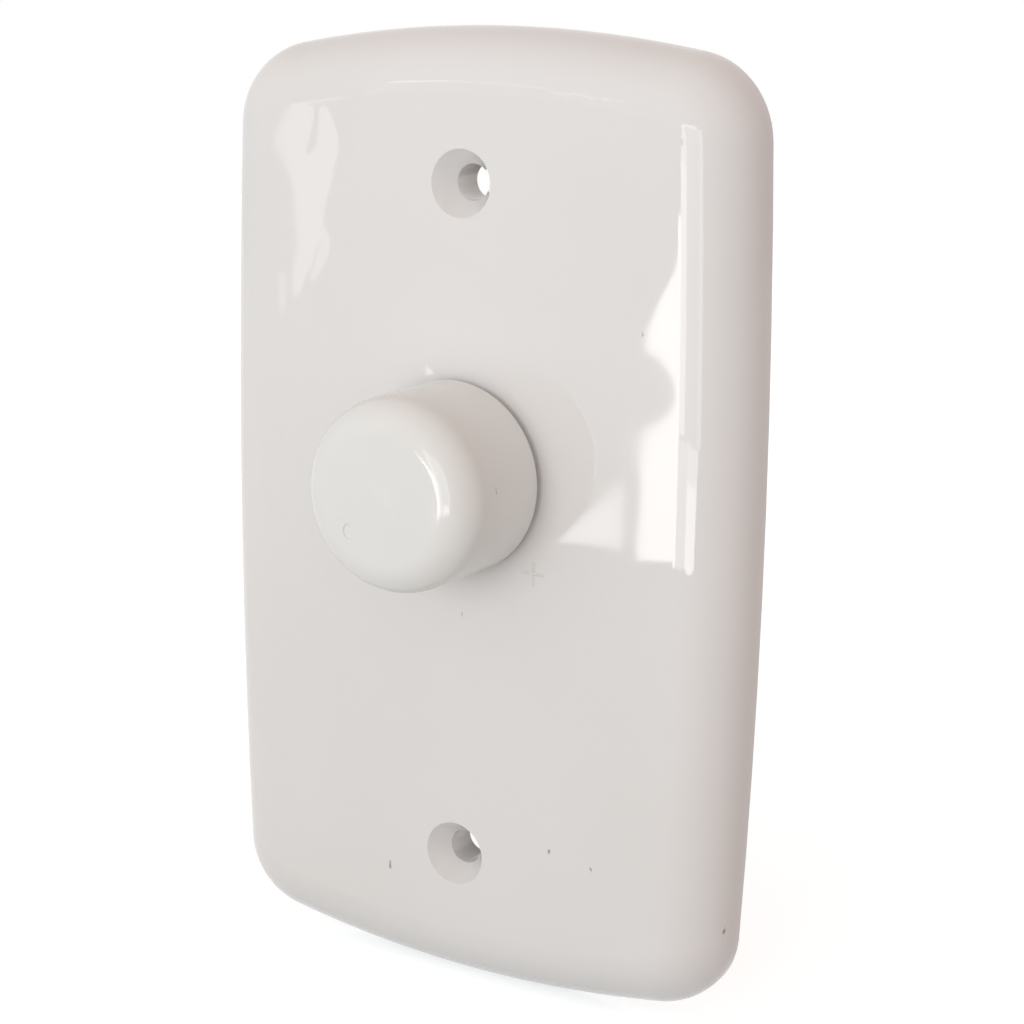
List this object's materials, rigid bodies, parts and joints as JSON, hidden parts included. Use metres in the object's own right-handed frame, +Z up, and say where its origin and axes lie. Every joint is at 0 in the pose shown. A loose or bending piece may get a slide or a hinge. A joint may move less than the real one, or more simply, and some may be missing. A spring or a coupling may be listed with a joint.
{
  "type": "wall dimmer switch",
  "caption": "White wall plate with a rotary dimmer knob and two countersunk screw holes, and its electronics in a rear housing that fits a flush wall box.",
  "frame": {"origin": "on the wall's surface, midway between the two fixing screws", "axes": "+Z up the wall, +Y into the wall, so the front faces -Y, and +X to the right as seen from the front"},
  "size_m": [0.0734, 0.0462, 0.1196],
  "materials": {
    "white_plastic": "glossy moulded white",
    "knob_plastic": "glossy moulded white",
    "cover_plastic": "fine moulded texture",
    "terminal_plastic": "smooth moulded",
    "zinc_steel": "bright zinc plating",
    "spring_steel": "dark tempered steel",
    "shaft_metal": "turned",
    "diecast_zinc": "die-cast",
    "nickel_brass": "nickel plated",
    "brown_laminate": "pressed paper laminate",
    "carbon_ink": "printed carbon",
    "silver_ink": "printed silver",
    "black_moulding": "satin moulded",
    "contact_bronze": "rolled sheet",
    "tinned_steel": "drawn and tinned",
    "tinned_brass": "tinned",
    "board_laminate": "laminate with green resist",
    "aluminium": "mill finish",
    "tinned_copper": "tinned",
    "ferrite": "coated grey",
    "copper_wire": "enamelled",
    "film_box": "moulded box",
    "tinned_wire": "tinned",
    "resistor_body": "lacquered with colour bands",
    "diode_glass": "clear",
    "fuse_glass": "clear"
  },
  "bodies": {
    "base": {"front_plate": "white_plastic", "rear_cover": "cover_plastic", "cover_screws": "zinc_steel", "pot_bushing": "diecast_zinc", "pot_washer": "zinc_steel", "pot_nut": "nickel_brass", "pot_wafer": "brown_laminate", "resistive_track": "carbon_ink", "collector_ring": "silver_ink", "pot_can": "tinned_steel", "pot_lugs": "tinned_brass", "circuit_board": "board_laminate", "terminal_block": "terminal_plastic", "terminal_cages": "nickel_brass", "terminal_screws": "zinc_steel", "heat_sink": "aluminium", "triac_tab": "tinned_copper", "triac_body": "black_moulding", "triac_legs": "tinned_brass", "heat_sink_screw": "zinc_steel", "heat_sink_nut": "zinc_steel", "choke_core": "ferrite", "choke_winding": "copper_wire", "choke_leads": "copper_wire", "suppressor_capacitor": "film_box", "suppressor_leads": "tinned_wire", "timing_capacitor": "film_box", "timing_leads": "tinned_wire", "resistors": "resistor_body", "resistor_leads": "tinned_wire", "diac": "diode_glass", "diac_leads": "tinned_wire", "fuse_body": "fuse_glass", "fuse_caps": "nickel_brass", "fuse_leads": "tinned_wire"},
    "dial": {"control_knob": "knob_plastic", "knob_grip_ring": "spring_steel", "pot_shaft": "shaft_metal", "shaft_clip": "spring_steel", "pot_rotor": "black_moulding", "pot_wiper": "contact_bronze"}
  },
  "joints": [
    {"name": "knob_turn", "type": "hinge", "parent": "base", "child": "dial", "pos_m": [0, -0.0083, 0.007], "axis": [0, 1, 0], "range_deg": [0, 270]}
  ]
}
